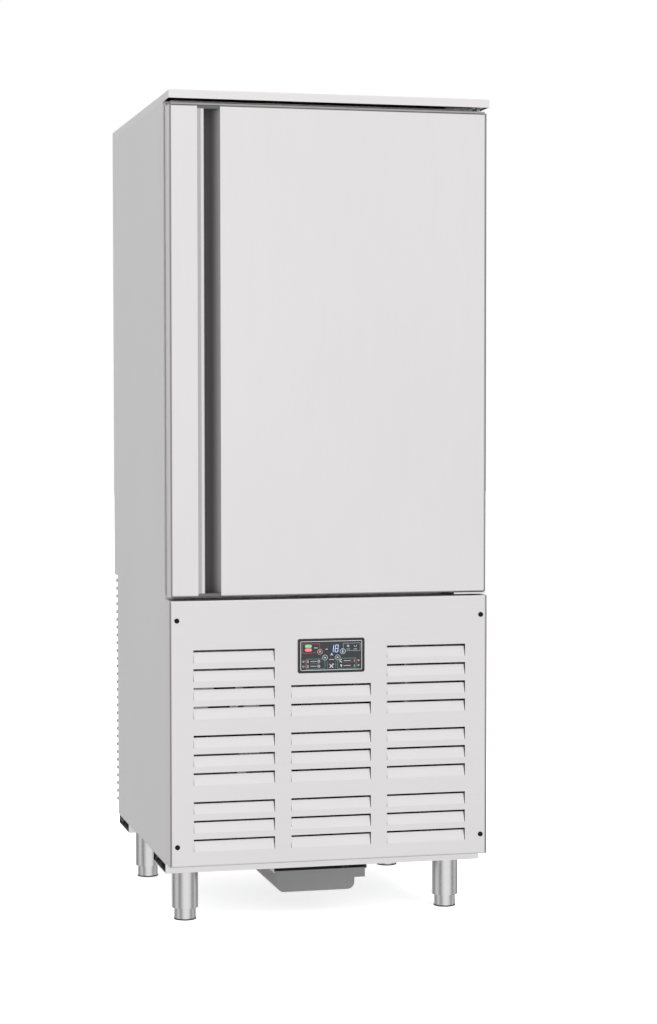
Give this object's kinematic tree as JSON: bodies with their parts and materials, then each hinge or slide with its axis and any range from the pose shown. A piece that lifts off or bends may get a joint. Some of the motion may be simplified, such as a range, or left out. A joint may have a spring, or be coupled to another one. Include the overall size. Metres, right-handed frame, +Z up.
{
  "type": "blast chiller",
  "caption": "Upright blast chiller: insulated cabinet with one full-height door, tray racks, louvred machine compartment and drip tray on four adjustable feet.",
  "frame": {"origin": "middle of the footprint on the floor, under the four feet", "axes": "+Z up, -Y out of the door, +X to the right seen from the front"},
  "size_m": [0.79, 0.878, 2.002],
  "materials": {
    "stainless_front": "satin",
    "stainless_side": "satin",
    "stainless_inner": "satin",
    "galvanised": "matte",
    "foam": "matte",
    "gasket": "matte",
    "black_plastic": "satin",
    "grey_plastic": "satin",
    "recess_plastic": "satin",
    "control_sheet": "gloss",
    "key_red": "gloss",
    "key_blue": "gloss",
    "key_green": "gloss",
    "bearing_plastic": "satin",
    "fins": "satin",
    "copper": "satin",
    "compressor_paint": "satin",
    "frame_plastic": "satin",
    "foot_steel": "satin"
  },
  "bodies": {
    "cabinet": {"left_side_panel": "stainless_side", "right_side_panel": "stainless_side", "back_panel": "stainless_side", "top_panel": "stainless_front", "cabinet_base_panel": "galvanised", "cabinet_foam": "foam", "chamber_liner": "stainless_inner", "breaker_frame": "frame_plastic", "machine_floor": "galvanised", "front_beam": "stainless_front", "rear_beam": "stainless_front", "leg_sleeves": "foot_steel", "front_panel": "stainless_front", "panel_screws": "black_plastic", "control_bezel": "black_plastic", "control_overlay": "control_sheet", "controller_box": "grey_plastic", "rear_grille": "galvanised", "tray_rails": "galvanised", "top_hinge_bracket": "foot_steel", "bottom_hinge_bracket": "foot_steel", "left_rack": "stainless_inner", "right_rack": "stainless_inner", "left_runners": "stainless_inner", "right_runners": "stainless_inner", "evaporator_coil": "fins", "fan_panel_hinges": "stainless_inner", "drain_pipe": "grey_plastic", "probe_socket": "black_plastic", "compressor": "compressor_paint", "condenser_coil": "fins", "condenser_shroud": "galvanised", "condenser_motor": "grey_plastic", "liquid_receiver": "compressor_paint", "filter_drier": "copper", "refrigerant_pipes": "copper", "electrical_box": "grey_plastic", "cable_gland": "black_plastic"},
    "door": {"door_skin": "stainless_front", "door_handle_channel": "recess_plastic", "door_grip": "stainless_side", "door_foam": "foam", "door_liner": "stainless_inner", "door_gasket": "gasket", "hinge_bushes": "bearing_plastic"},
    "drip_tray": {"drip_tray": "grey_plastic"},
    "foot_front_left": {"foot_front_left": "foot_steel"},
    "foot_front_right": {"foot_front_right": "foot_steel"},
    "foot_rear_left": {"foot_rear_left": "foot_steel"},
    "foot_rear_right": {"foot_rear_right": "foot_steel"},
    "key_stop": {"key_stop": "key_red"},
    "key_light": {"key_light": "key_blue"},
    "key_down": {"key_down": "key_green"},
    "key_up": {"key_up": "key_green"},
    "fan_cover": {"fan_panel": "stainless_inner", "fan_motors": "grey_plastic", "fan_guards": "stainless_inner"},
    "upper_fan": {"upper_fan": "black_plastic"},
    "lower_fan": {"lower_fan": "black_plastic"},
    "condenser_fan": {"condenser_fan": "black_plastic"}
  },
  "joints": [
    {"name": "door_hinge", "type": "hinge", "parent": "cabinet", "child": "door", "pos_m": [0.377, -0.4004, 1.387], "axis": [0, 0, 1], "range_deg": [0, 110]},
    {"name": "drip_tray_slide", "type": "slide", "parent": "cabinet", "child": "drip_tray", "axis": [0, -1, 0], "range_m": [0, 0.28]},
    {"name": "fan_cover_hinge", "type": "hinge", "parent": "cabinet", "child": "fan_cover", "pos_m": [0.2885, 0.158, 1.392], "axis": [0, 0, 1], "range_deg": [0, 55]},
    {"name": "upper_fan_spin", "type": "hinge", "parent": "fan_cover", "child": "upper_fan", "pos_m": [0, 0.17, 1.64], "axis": [0, 1, 0], "continuous": true},
    {"name": "lower_fan_spin", "type": "hinge", "parent": "fan_cover", "child": "lower_fan", "pos_m": [0, 0.17, 1.14], "axis": [0, 1, 0], "continuous": true},
    {"name": "condenser_fan_spin", "type": "hinge", "parent": "cabinet", "child": "condenser_fan", "pos_m": [-0.16, 0.28, 0.375], "axis": [0, 1, 0], "continuous": true},
    {"name": "foot_front_left_screw", "type": "slide", "parent": "cabinet", "child": "foot_front_left", "axis": [0, 0, -1], "range_m": [0, 0.04]},
    {"name": "foot_front_right_screw", "type": "slide", "parent": "cabinet", "child": "foot_front_right", "axis": [0, 0, -1], "range_m": [0, 0.04]},
    {"name": "foot_rear_left_screw", "type": "slide", "parent": "cabinet", "child": "foot_rear_left", "axis": [0, 0, -1], "range_m": [0, 0.04]},
    {"name": "foot_rear_right_screw", "type": "slide", "parent": "cabinet", "child": "foot_rear_right", "axis": [0, 0, -1], "range_m": [0, 0.04]},
    {"name": "key_stop_press", "type": "slide", "parent": "cabinet", "child": "key_stop", "axis": [0, 1, 0], "range_m": [0, 0.0005], "stiffness_N_per_m": 4000},
    {"name": "key_light_press", "type": "slide", "parent": "cabinet", "child": "key_light", "axis": [0, 1, 0], "range_m": [0, 0.0005], "stiffness_N_per_m": 4000},
    {"name": "key_down_press", "type": "slide", "parent": "cabinet", "child": "key_down", "axis": [0, 1, 0], "range_m": [0, 0.0005], "stiffness_N_per_m": 4000},
    {"name": "key_up_press", "type": "slide", "parent": "cabinet", "child": "key_up", "axis": [0, 1, 0], "range_m": [0, 0.0005], "stiffness_N_per_m": 4000}
  ]
}
